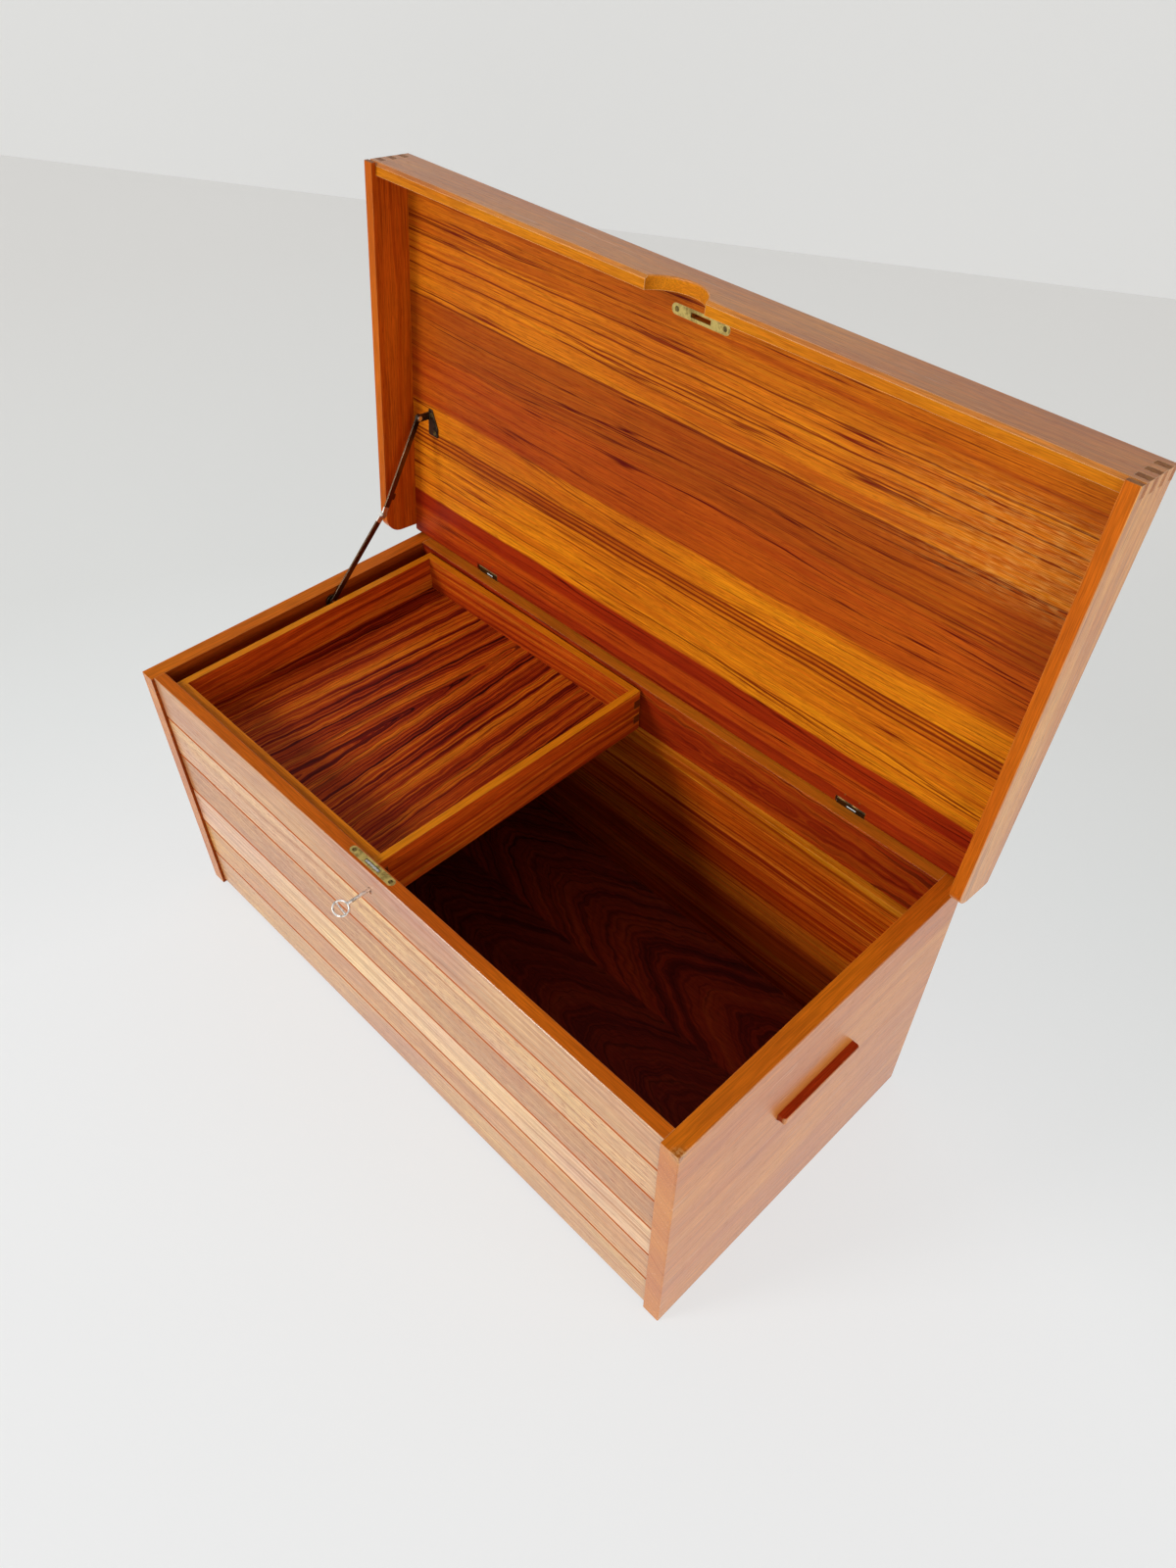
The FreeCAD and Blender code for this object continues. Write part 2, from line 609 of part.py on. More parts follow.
lid_panel = new_piece("lid_panel", on_lid=True)
block(lid_panel, "Panel", ("lid_inside_left", "lid_inside_right"), ("lid_inside_front", "hinge_y"),
      ("lid_inner", "lid_top"))
rod(lid_panel, "RoundBack", "x", ("lid_inside_left", "hinge_y", "hinge_z"), "lid_inside_right - lid_inside_left",
    "lid_panel_thickness / 2")
block(lid_panel, "Tongues", ("lid_inside_left - lid_tongue_length", "lid_inside_right + lid_tongue_length"),
      ("lid_inside_front - lid_tongue_length", "lid_rail_back - lid_rail_back_round"),
      ("lid_tongue_foot", "lid_tongue_top"))
front_rail = new_piece("lid_front_rail", on_lid=True)
block(front_rail, "Rail", ("lid_left", "lid_right"), ("lid_front", "lid_inside_front"),
      ("front_rail_foot", "lid_top"))
dress(front_rail, "OuterBevel", "Chamfer", "lid_bevel",
      lambda middle, edge: near(middle.z, "front_rail_foot") and near(middle.y, "lid_front"))
rod(front_rail, "Scallop", "y", ("0", "lid_front - overrun", "front_rail_foot + scallop_rise - scallop_radius"),
    "lid_rail_thickness + 2 * overrun", "scallop_radius", cut=True)
block(front_rail, "PanelGroove",
      ("lid_inside_left - lid_tongue_length", "lid_inside_right + lid_tongue_length"),
      ("lid_inside_front - lid_tongue_length", "lid_inside_front + overrun"),
      ("lid_tongue_foot", "lid_tongue_top"), cut=True)
dress(front_rail, "RoundedScallop", "Fillet", "scallop_round",
      lambda middle, edge: edge.Curve.TypeId == "Part::GeomCircle" and near(middle.y, "lid_front")
      and near(middle.x, "0 * left"))


def side_rail(label, outer, inner, sign):
    """One side rail of the lid, rounded at its lower back corner."""
    rail = new_piece(label, on_lid=True)
    span = sorted((outer, inner), key=amount)
    groove = sorted((f"{inner} - ({sign}) * lid_tongue_length", f"{inner} + ({sign}) * overrun"), key=amount)
    block(rail, "Rail", span, ("lid_front", "lid_rail_back"), ("lid_rail_foot", "lid_top"))
    dress(rail, "BackCorner", "Fillet", "lid_rail_back_round",
          lambda middle, edge: near(middle.z, "lid_rail_foot") and near(middle.y, "lid_rail_back"))
    dress(rail, "BackTop", "Fillet", "lid_rail_top_round",
          lambda middle, edge: near(middle.z, "lid_top") and near(middle.y, "lid_rail_back"))
    dress(rail, "EasedFoot", "Fillet", "lid_edge_round",
          lambda middle, edge: near(middle.z, "lid_rail_foot") and near(middle.x, outer))
    block(rail, "PanelGroove", groove,
          ("lid_inside_front - lid_tongue_length", "lid_rail_back - lid_rail_back_round"),
          ("lid_tongue_foot", "lid_tongue_top"), cut=True)
    return rail


left_rail = side_rail("lid_left_rail", "lid_left", "lid_inside_left", "1")
right_rail = side_rail("lid_right_rail", "lid_right", "lid_inside_right", "-1")
for index in range(int(amount("lid_finger_count"))):
    span = (f"front_rail_foot + {index} * lid_finger", f"front_rail_foot + {index + 1} * lid_finger")
    corner = ("lid_front", "lid_inside_front")
    owners = (left_rail, right_rail) if index % 2 == 0 else (front_rail, front_rail)
    for owner, ends in zip(owners, (("lid_left", "lid_inside_left"), ("lid_inside_right", "lid_right"))):
        block(owner, "Socket", ends, corner, span, cut=True)

# Keeper plate in the lid, over a mortise for the bolt

round_ended(lid_panel, "KeeperRecess", "lock_y", "lid_inner", "keeper_foot", "keeper_length", "keeper_width",
            cut=True)
block(lid_panel, "KeeperMortise", ("-keeper_slot_length / 2", "keeper_slot_length / 2"),
      ("lock_y - keeper_slot_width / 2", "lock_y + keeper_slot_width / 2"),
      ("lid_inner", "lid_inner + keeper_mortise_depth"), cut=True)
keeper = new_piece("keeper_plate", on_lid=True)
round_ended(keeper, "Plate", "lock_y", "lid_inner", "keeper_foot", "keeper_length", "keeper_width")
block(keeper, "Slot", ("-keeper_slot_length / 2", "keeper_slot_length / 2"),
      ("lock_y - keeper_slot_width / 2", "lock_y + keeper_slot_width / 2"),
      ("lid_inner - overrun", "keeper_foot + overrun"), cut=True)

# Screws: countersunk, slotted, one compound for each set

def screws(label, places, mouth, head_up, on_lid=False, length="screw_length"):
    """A set of alike screws with their heads flush at one level."""
    made = []
    for index, (x, y) in enumerate(places):
        name = f"{label}_{index + 1}"
        head = doc.addObject("Part::Cone", name + "_head")
        shank = doc.addObject("Part::Cylinder", name + "_shank")
        slot = doc.addObject("Part::Box", name + "_slot")
        whole = doc.addObject("Part::Fuse", name + "_whole")
        screw = doc.addObject("Part::Cut", name)
        for part_of in (head, shank):
            bind(part_of, {"Placement.Base.x": x, "Placement.Base.y": y})
        if head_up:
            bind(head, {"Radius1": "screw_shank", "Radius2": "screw_head",
                        "Placement.Base.z": f"{mouth} - screw_head_height"})
            bind(shank, {"Placement.Base.z": f"{mouth} - {length}"})
            bind(slot, {"Placement.Base.z": f"{mouth} - screw_slot_depth"})
        else:
            bind(head, {"Radius1": "screw_head", "Radius2": "screw_shank", "Placement.Base.z": mouth})
            bind(shank, {"Placement.Base.z": f"{mouth} + screw_head_height"})
            bind(slot, {"Placement.Base.z": mouth})
        bind(head, {"Height": "screw_head_height"})
        bind(shank, {"Radius": "screw_shank", "Height": f"{length} - screw_head_height"})
        bind(slot, {"Length": "screw_slot_width", "Width": "2 * screw_head", "Height": "screw_slot_depth",
                    "Placement.Base.x": f"({x}) - screw_slot_width / 2",
                    "Placement.Base.y": f"({y}) - screw_head"})
        whole.Base, whole.Tool = head, shank
        screw.Base, screw.Tool = whole, slot
        made.append(screw)
    group = doc.addObject("Part::Compound", label)
    group.Links = made
    if on_lid:
        bind(group, {"Placement": OPEN})
    nodes.append(group)
    return group


def screw_holes(piece, places, start, length):
    """Pilot holes for a set of screws."""
    for x, y in places:
        rod(piece, "Pilot", "z", (x, y, start), length, "screw_shank + screw_room", cut=True)


lock_places = [(f"{side} * lock_screw_spread", "lock_y") for side in (-1, 1)]
screws("lock_plate_screws", lock_places, "top", True)
keeper_places = lock_places
screws("keeper_screws", keeper_places, "lid_inner", False, on_lid=True)
screw_holes(lid_panel, keeper_places, "lid_inner", "screw_length + screw_room")
for x, y in keeper_places:
    sink(keeper, "Countersink", x, y, "lid_inner", head_up=False)
screw_holes(keeper, keeper_places, "lid_inner", "lock_plate_thickness + overrun")

# Hinges: a leaf on the back of the rail, a leaf let into the lid's round back edge, three eyes and a pin

def hinge(side, middle):
    """One hinge about the lid's axis."""
    start = f"{middle} - hinge_length / 2"
    eyes = [(f"{start} + {index} * (eye_length + eye_room)", index % 2 == 1) for index in range(3)]
    ends = (start, f"{start} + hinge_length")
    room_ends = (f"{start} - leaf_room", f"{start} + hinge_length + leaf_room")
    body_leaf = new_piece(f"hinge_{side}_body_leaf")
    block(body_leaf, "Leaf", ends, ("body_leaf_front", "back"), ("body_leaf_foot", "top"))
    lid_leaf = new_piece(f"hinge_{side}_lid_leaf", on_lid=True)
    block(lid_leaf, "Leaf", ends, ("lid_leaf_front", "lid_leaf_back"), ("lid_leaf_foot", "lid_leaf_top"))
    for eye_start, in_lid in eyes:
        leaf = lid_leaf if in_lid else body_leaf
        eye_span = (eye_start, f"{eye_start} + eye_length")
        rod(leaf, "Eye", "x", (eye_start, "hinge_y", "hinge_z"), "eye_length", "eye_radius")
        if in_lid:
            block(leaf, "Web", eye_span, ("lid_leaf_back", "hinge_y"), ("lid_leaf_foot", "lid_leaf_top"))
        else:
            block(leaf, "Web", eye_span, ("body_leaf_front", "back"),
                  ("top", "hinge_z - (eye_radius + hinge_pin_radius) / 2"))
    for leaf in (body_leaf, lid_leaf):
        rod(leaf, "Bore", "x", (f"{start} - overrun", "hinge_y", "hinge_z"), "hinge_length + 2 * overrun",
            "eye_bore", cut=True)
    pin = new_piece(f"hinge_{side}_pin")
    rod(pin, "Pin", "x", (start, "hinge_y", "hinge_z"), "hinge_length", "hinge_pin_radius")
    block(back_rail, "LeafRecess", room_ends, ("body_leaf_front", "back + overrun"),
          ("body_leaf_foot - leaf_room", "top + overrun"), cut=True)
    block(lid_panel, "LeafSlot", room_ends, ("lid_leaf_front - leaf_room", "lid_leaf_back + overrun"),
          ("lid_leaf_foot - leaf_room", "lid_leaf_top + leaf_room"), cut=True)
    block(lid_panel, "KnuckleNotch", (f"{start} - knuckle_room", f"{start} + hinge_length + knuckle_room"),
          ("notch_front", "hinge_y + 2 * overrun"), ("lid_inner - overrun", "lid_top + overrun"), cut=True)
    brad_y = "lid_leaf_front + leaf_width / 2"
    brads = [(f"{middle} + {step} * leaf_brad_spread", brad_y) for step in (-1, 1)]
    for piece in (lid_leaf, lid_panel):
        for x, y in brads:
            rod(piece, "BradHole", "z", (x, y, "lid_inner"), "brad_length + screw_room",
                "brad_radius + screw_room", cut=True)
    return [f"{middle} + {step} * leaf_screw_spread" for step in (-1, 0, 1)], brads


hinges = [hinge("left", "left + hinge_from_end"), hinge("right", "right - hinge_from_end")]
body_leaves = [piece for piece in nodes if piece.Label.endswith("body_leaf")]
leaf_screws = screws("hinge_body_screws", [("0", "0")] * 6, "0", True)
screw_z = "body_leaf_foot + leaf_width / 2"
for number, screw in enumerate(leaf_screws.Links):
    x = hinges[number // 3][0][number % 3]
    bind(screw, {"Placement": f"placement(vector({x}; back; {screw_z}); "
                              "rotation(vector(1; 0; 0); -90))"})
    for piece in (back_rail, body_leaves[number // 3]):
        rod(piece, "ScrewHole", "y", (x, "back - screw_length - screw_room", screw_z), "screw_length + screw_room",
            "screw_shank + screw_room", cut=True)
    cone = body_leaves[number // 3].newObject("PartDesign::SubtractiveCone", "Countersink")
    cone.Placement.Rotation = ALONG["y"]
    bind(cone, {"Radius1": "screw_shank + screw_room", "Radius2": "screw_head + screw_room",
                "Height": "screw_head_height", "Placement.Base.x": x,
                "Placement.Base.y": "back - screw_head_height", "Placement.Base.z": screw_z})

brads = []
for number, (x, y) in enumerate(hinges[0][1] + hinges[1][1], 1):
    brad = doc.addObject("Part::Cylinder", f"hinge_lid_brads_{number}")
    bind(brad, {"Radius": "brad_radius", "Height": "brad_length", "Placement.Base.x": x, "Placement.Base.y": y,
                "Placement.Base.z": "lid_inner"})
    brads.append(brad)
brad_set = doc.addObject("Part::Compound", "hinge_lid_brads")
brad_set.Links = brads
bind(brad_set, {"Placement": OPEN})
nodes.append(brad_set)

# Lid stay: a bracket on the left panel, two arms that meet at the elbow, a bracket under the lid

# Open, the arms are nearly straight: the two pivots lie a chord of the lid's circle apart

def arm(label, left, right, place):
    """A flat strip with an eye at each end, drawn along Y from its pivot and then turned."""
    strip = new_piece(label)
    block(strip, "Strip", (left, right), ("0", "stay_arm_length"),
          ("-stay_arm_width / 2", "stay_arm_width / 2"))
    for name, middle in (("PivotEye", "0"), ("ElbowEye", "stay_arm_length")):
        rod(strip, name, "x", (left, middle, "0"), "stay_arm_thickness", "stay_eye_radius")
        rod(strip, name + "Bore", "x", (f"{left} - overrun", middle, "0"), "stay_arm_thickness + 2 * overrun",
            "stay_rivet_radius + running_room", cut=True)
    bind(strip, {"Placement": place})
    return strip


at_pivot = "placement(vector(0; stay_pivot_y; stay_pivot_z); rotation(vector(1; 0; 0); {}))"
lower_place = at_pivot.format("lower_arm_angle")
upper_place = OPEN + " * " + at_pivot.format("upper_arm_angle")
lower_arm = arm("stay_lower_arm", "lower_arm_left", "lower_arm_right", lower_place)
upper_arm = arm("stay_upper_arm", "upper_arm_left", "upper_arm_right", upper_place)
block(upper_arm, "Tab", ("upper_arm_left", "upper_arm_right"),
      ("stay_arm_length - stay_tab_back - stay_tab_length", "stay_arm_length - stay_tab_back"),
      ("0", "stay_arm_width / 2 + stay_tab_rise"))

bracket = new_piece("stay_body_bracket")
bracket_foot = "stay_pivot_z - stay_bracket_height + stay_bracket_width / 2"
block(bracket, "Plate", ("inside_left", "stay_bracket_face"),
      ("stay_pivot_y - stay_bracket_width / 2", "stay_pivot_y + stay_bracket_width / 2"),
      (bracket_foot, "stay_pivot_z"))
rod(bracket, "Head", "x", ("inside_left", "stay_pivot_y", "stay_pivot_z"), "stay_bracket_thickness",
    "stay_bracket_width / 2")
rod(bracket, "RivetBore", "x", ("inside_left - overrun", "stay_pivot_y", "stay_pivot_z"),
    "stay_bracket_thickness + 2 * overrun", "stay_rivet_radius + running_room", cut=True)

lug = new_piece("stay_lid_bracket", on_lid=True)
plate_points = [("lug_left", "stay_pivot_y - stay_plate_length / 4"),
                ("lug_left", "stay_pivot_y + stay_plate_length * 3 / 4"),
                ("lug_left + stay_plate_width", "stay_pivot_y + stay_plate_length * 3 / 4"),
                ("lug_left + stay_plate_width", "stay_pivot_y + stay_plate_length * 2 / 5"),
                ("lug_right + stay_plate_width / 4", "stay_pivot_y - stay_plate_length / 4")]
pad(lug, "MountingPlate", outline(lug, "PlateOutline", "XY", "lid_inner - stay_plate_thickness", plate_points),
    "stay_plate_thickness")
block(lug, "Ear", ("lug_left", "lug_right"),
      ("stay_pivot_y - stay_eye_radius", "stay_pivot_y + stay_eye_radius"),
      ("stay_pivot_z", "lid_inner - stay_plate_thickness"))
rod(lug, "EarEnd", "x", ("lug_left", "stay_pivot_y", "stay_pivot_z"), "stay_plate_thickness", "stay_eye_radius")
rod(lug, "RivetBore", "x", ("lug_left - overrun", "stay_pivot_y", "stay_pivot_z"),
    "stay_plate_thickness + 2 * overrun", "stay_rivet_radius + running_room", cut=True)


def rivet(label, start, end, head_start, place, at_lid=False):
    """A rivet along X with a flat head, drawn at its pivot and then placed."""
    pin = new_piece(label, on_lid=at_lid)
    y, z = ("stay_pivot_y", "stay_pivot_z") if place is None else (place, "0")
    rod(pin, "Shank", "x", (start, y, z), f"({end}) - ({start})", "stay_rivet_radius")
    if head_start:
        rod(pin, "Head", "x", (head_start, y, z), "stay_rivet_head_height", "stay_rivet_head")
    return pin


rivet("stay_body_rivet", "inside_left", "lower_arm_right", None, None)
rivet("stay_lid_rivet", "upper_arm_left", "lug_right + stay_rivet_head_height", "lug_right", None, at_lid=True)
lower_half = rivet("stay_elbow_rivet_lower", "lower_arm_left", "lower_arm_right",
                   "lower_arm_left - stay_rivet_head_height", "stay_arm_length")
upper_half = rivet("stay_elbow_rivet_upper", "upper_arm_left", "upper_arm_right", "upper_arm_right",
                   "stay_arm_length")
bind(lower_half, {"Placement": lower_place})
bind(upper_half, {"Placement": upper_place})

plate_places = [("lug_left + stay_plate_width * 2 / 3", "stay_pivot_y + stay_plate_length * 3 / 5"),
                ("lug_left + stay_plate_width / 3", "stay_pivot_y - stay_plate_length / 16")]
screws("stay_lid_screws", plate_places, "lid_inner - stay_plate_thickness", False, on_lid=True)
for x, y in plate_places:
    sink(lug, "Countersink", x, y, "lid_inner - stay_plate_thickness", head_up=False)
screw_holes(lug, plate_places, "lid_inner - stay_plate_thickness", "stay_plate_thickness")
screw_holes(lid_panel, plate_places, "lid_inner", "screw_length - stay_plate_thickness + screw_room")


def wall_screws(label, heights):
    """Screws through the stay's bracket into the left panel, their heads flush with the bracket."""
    pair = screws(label, [("0", "0")] * len(heights), "0", True)
    for screw, height in zip(pair.Links, heights):
        bind(screw, {"Placement": f"placement(vector(stay_bracket_face; stay_pivot_y; {height}); "
                                  "rotation(vector(0; 1; 0); 90))"})
        wood_depth = "screw_length - stay_bracket_thickness + screw_room"
        for piece, mouth, depth in ((bracket, "stay_bracket_face", "stay_bracket_thickness"),
                                    (left_panel, "inside_left", wood_depth)):
            rod(piece, "ScrewHole", "x", (f"{mouth} - ({depth})", "stay_pivot_y", height), depth,
                "screw_shank + screw_room", cut=True)
        cone = bracket.newObject("PartDesign::SubtractiveCone", "Countersink")
        cone.Placement.Rotation = ALONG["x"]
        bind(cone, {"Radius1": "screw_shank + screw_room", "Radius2": "screw_head + screw_room",
                    "Height": "screw_head_height", "Placement.Base.x": "stay_bracket_face - screw_head_height",
                    "Placement.Base.y": "stay_pivot_y", "Placement.Base.z": height})


wall_screws("stay_body_screws", [f"{bracket_foot} + stay_bracket_width / 4",
                                 f"{bracket_foot} + stay_bracket_width * 3 / 4"])

# Check every object and write each piece to its own file

doc.recompute()
for thing in doc.Objects:
    if {"Invalid", "Error"} & set(thing.State):
        raise RuntimeError(f"{thing.Label} failed: {thing.State}")
os.makedirs("parts", exist_ok=True)
for node in nodes:
    shape = node.Shape
    if shape.isNull() or not shape.isValid() or not shape.Solids:
        raise RuntimeError(f"{node.Label} has no valid shape")
    shape.exportStep(f"parts/{node.Label}.step")
    print(f"{node.Label}: {len(shape.Solids)} solid(s), {shape.Volume:.0f} cubic mm")
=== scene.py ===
import json
import math

import bpy
from mathutils import Matrix, Vector


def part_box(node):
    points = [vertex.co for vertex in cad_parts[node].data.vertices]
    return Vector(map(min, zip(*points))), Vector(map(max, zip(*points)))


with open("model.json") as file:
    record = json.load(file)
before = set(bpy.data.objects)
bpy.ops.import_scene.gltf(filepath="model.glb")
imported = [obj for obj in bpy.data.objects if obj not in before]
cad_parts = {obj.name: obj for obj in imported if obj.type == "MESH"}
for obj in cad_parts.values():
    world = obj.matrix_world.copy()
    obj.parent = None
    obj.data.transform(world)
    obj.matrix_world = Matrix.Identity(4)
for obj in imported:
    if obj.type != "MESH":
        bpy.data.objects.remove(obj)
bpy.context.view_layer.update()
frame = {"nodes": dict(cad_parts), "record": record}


# Places on the chest, in millimetres

MM = 1000


def lowest(node):
    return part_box(node)[0] * MM


def highest(node):
    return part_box(node)[1] * MM


def middle(node):
    return (lowest(node) + highest(node)) / 2


JOINTS = {joint["name"]: joint for joint in frame["record"]["behaviour"]["joints"]}
LID_HINGE = Vector(JOINTS["lid_hinge"]["pos_m"]) * MM
LID_OPENING = math.radians(JOINTS["lid_hinge"]["range_deg"][1])
BOARDS = [f"front_board_{number}" for number in range(1, 7)]
BOARD_FEET = [lowest(board).z for board in BOARDS]
FRONT_FACE = lowest(BOARDS[0]).y
FRONT_EDGE = lowest("right_side_panel").y
SIDE_PANEL_CORNER = Vector((highest("right_side_panel").x, FRONT_EDGE, highest("right_side_panel").z))


# Camera, high over the chest's front right corner

def place_camera():
    place = Vector((0.7517, -0.6321, 1.3732))
    look = Vector((-0.4783, 0.47735, -0.73713)).normalized()
    level = Vector((0.70075, 0.71337, 0.00728))
    right = (level - look * level.dot(look)).normalized()
    up = right.cross(look)
    data = bpy.data.cameras.new("camera")
    data.sensor_fit = "VERTICAL"
    data.sensor_height = 36
    data.lens = 26.48
    data.shift_x = -0.0036
    data.shift_y = 0.0249
    data.clip_end = 50
    camera = bpy.data.objects.new("camera", data)
    bpy.context.scene.collection.objects.link(camera)
    turn = Matrix((right, up, -look)).transposed().to_4x4()
    camera.matrix_world = Matrix.Translation(place) @ turn
    bpy.context.scene.camera = camera


place_camera()


# Shader maths

class Wire:
    """A socket that sums are written with."""

    def __init__(self, shading, socket):
        self.shading = shading
        self.socket = socket

    def math(self, operation, first, second=0):
        return self.shading.node("ShaderNodeMath", {"operation": operation}, {0: first, 1: second})

    def __add__(self, other):
        return self.math("ADD", self, other)

    def __radd__(self, other):
        return self.math("ADD", other, self)

    def __sub__(self, other):
        return self.math("SUBTRACT", self, other)

    def __rsub__(self, other):
        return self.math("SUBTRACT", other, self)

    def __mul__(self, other):
        return self.math("MULTIPLY", self, other)

    def __rmul__(self, other):
        return self.math("MULTIPLY", other, self)

    def __truediv__(self, other):
        return self.math("DIVIDE", self, other)

    def __pow__(self, other):
        return self.math("POWER", self, other)

    def __abs__(self):
        return self.math("ABSOLUTE", self)

    def __gt__(self, other):
        return self.math("GREATER_THAN", self, other)

    def folded(self, width):
        """Runs up to the width and back again, over and over."""
        return self.math("PINGPONG", self, width)

    def or_more(self, other):
        return self.math("MAXIMUM", self, other)


def paint(tone):
    """A tone such as C07828 as the linear colour that a shader takes."""
    parts = [int(tone[start:start + 2], 16) / 255 for start in (0, 2, 4)]
    return tuple(part / 12.92 if part < 0.04045 else ((part + 0.055) / 1.055) ** 2.4 for part in parts) + (1,)


def share(tone, base):
    """How much of a base tone another tone keeps, channel by channel."""
    return tuple(part / whole for part, whole in zip(paint(tone), paint(base)))


class Shading:
    """The nodes of a material or of the world."""

    def __init__(self, tree):
        self.tree = tree

    def node(self, kind, settings=None, values=None, out=0):
        """Any node: its settings, then what feeds its sockets."""
        made = self.tree.nodes.new(kind)
        for name, value in (settings or {}).items():
            if name == "stops":
                self.set_stops(made.color_ramp, value)
            else:
                setattr(made, name, value)
        for name, value in (values or {}).items():
            self.feed(made.inputs[name], value)
        return Wire(self, made.outputs[out])

    def feed(self, socket, value):
        if isinstance(value, Wire):
            self.tree.links.new(value.socket, socket)
        else:
            socket.default_value = value

    def set_stops(self, ramp, stops):
        while len(ramp.elements) < len(stops):
            ramp.elements.new(1)
        for element, (place, tone) in zip(ramp.elements, stops):
            element.position = place
            element.color = paint(tone)

    def mix(self, amount, first, second, blend="MIX"):
        """Two colours mixed, or laid over each other."""
        return self.node("ShaderNodeMix", {"data_type": "RGBA", "blend_type": blend},
                         {0: amount, 6: first, 7: second}, 2)

    def span(self, value, low, high, start=0, end=1):
        """A value between low and high turned into one between start and end, softly."""
        return self.node("ShaderNodeMapRange", {"interpolation_type": "SMOOTHSTEP"},
                         {0: value, 1: low, 2: high, 3: start, 4: end})

    def ramp(self, value, stops):
        return self.node("ShaderNodeValToRGB", {"stops": stops}, {0: value})

    def bundle(self, x, y, z=0):
        """Three values as one vector."""
        return self.node("ShaderNodeCombineXYZ", {}, {0: x, 1: y, 2: z})

    def stretch(self, where, scale):
        return self.node("ShaderNodeVectorMath", {"operation": "MULTIPLY"}, {0: where, 1: scale})

    def distance(self, where, point):
        return self.node("ShaderNodeVectorMath", {"operation": "DISTANCE"}, {0: where, 1: point}, 1)

    def noise(self, where, detail, rough):
        return self.node("ShaderNodeTexNoise", {"noise_dimensions": "3D"},
                         {"Vector": where, "Scale": 1, "Detail": detail, "Roughness": rough})

    def specks(self, where, fineness, detail, rough=0.5):
        """Noise that is alike in all directions, by how fine it is."""
        return self.noise(self.stretch(where, (fineness, fineness, fineness)), detail, rough)

    def axes(self, where):
        """A vector's x, y and z, each by its letter."""
        split = self.node("ShaderNodeSeparateXYZ", {}, {0: where})
        return {axis: Wire(self, socket) for axis, socket in zip("xyz", split.socket.node.outputs)}

    def seen_rays(self):
        """Rays that a camera, a polished face or clear glass shows."""
        straight = self.node("ShaderNodeLightPath")
        mirrored = self.node("ShaderNodeLightPath", out=3)
        through = self.node("ShaderNodeLightPath", out=6)
        return self.node("ShaderNodeMath", {"operation": "ADD", "use_clamp": True},
                         {0: straight + mirrored, 1: through})


STILL_FLAT = 0.995
WELL_BENT = 0.86


class Finish(Shading):
    """A material in the making."""

    def __init__(self, name):
        self.material = bpy.data.materials.new(name)
        self.material.use_nodes = True
        super().__init__(self.material.node_tree)
        self.shader = self.tree.nodes["Principled BSDF"]

    def set(self, **values):
        """Feed the finish's own shader."""
        for name, value in values.items():
            self.feed(self.shader.inputs[name.replace("_", " ")], value)

    def set_relief(self, height, strength, depth, edges):
        """Fine relief, on edges that are softly rounded."""
        self.set(Normal=self.node("ShaderNodeBump", {}, {"Strength": strength, "Distance": depth / MM,
                                                         "Height": height, "Normal": edges}))

    def place(self, on_lid=False):
        """Object coordinates in millimetres, turned back with the lid where the piece is on it."""
        values = {"Vector": self.node("ShaderNodeTexCoord", out=3), "Scale": (MM, MM, MM)}
        if on_lid:
            values["Rotation"] = (LID_OPENING, 0, 0)
            values["Location"] = LID_HINGE - Matrix.Rotation(LID_OPENING, 3, "X") @ LID_HINGE
        return self.node("ShaderNodeMapping", {"vector_type": "POINT"}, values)

    def facing(self, on_lid):
        """The way a face looks, turned back with the lid too."""
        looks = self.node("ShaderNodeTexCoord", out=1)
        if on_lid:
            looks = self.node("ShaderNodeMapping", {"vector_type": "NORMAL"},
                              {"Vector": looks, "Rotation": (LID_OPENING, 0, 0)})
        return self.axes(looks)

    def edge_band_and_normal(self, width):
        """How near a sharp edge a place is, and the way the rounded edge looks there."""
        soft = self.node("ShaderNodeBevel", {"samples": 4}, {"Radius": width / MM})
        true = self.node("ShaderNodeNewGeometry", out=1)
        same = self.node("ShaderNodeVectorMath", {"operation": "DOT_PRODUCT"}, {0: soft, 1: true}, 1)
        return self.span(same, STILL_FLAT, WELL_BENT), soft


def dress(material, *nodes):
    for node in nodes:
        slots = frame["nodes"][node].material_slots
        if not slots:
            frame["nodes"][node].data.materials.append(material)
        for slot in slots:
            slot.material = material


# Teak

END_GRAIN = "5A2408"
SCUFF = "F0C9A0"
FLECK = "F0B45A"
BARE_WOOD = "C89A5C"
DIRTY_WOOD = "8A4A18"
DENT_INSIDE = 6
DENT_OUTSIDE = 16
GROOVE_TONE = "B8540C"
GROOVE_MIDDLE = 1.6
GROOVE_SIDE = 3.0
GROOVE_START = 3
GROOVE_BED = 7
LOG_LENGTH = 731
LOG_WIDTH = 57
RING_RUN = 0.0012
RING_LEAN = 0.7
RING_TURN = 3.1
TONE_PLACES = (0.33, 0.43, 0.51, 0.64)
STAVE_SHIFT = 171
STAVE_JOINT = 2.5
FLECK_FADE = 40
TEAK_EDGE_BAND = 1.1


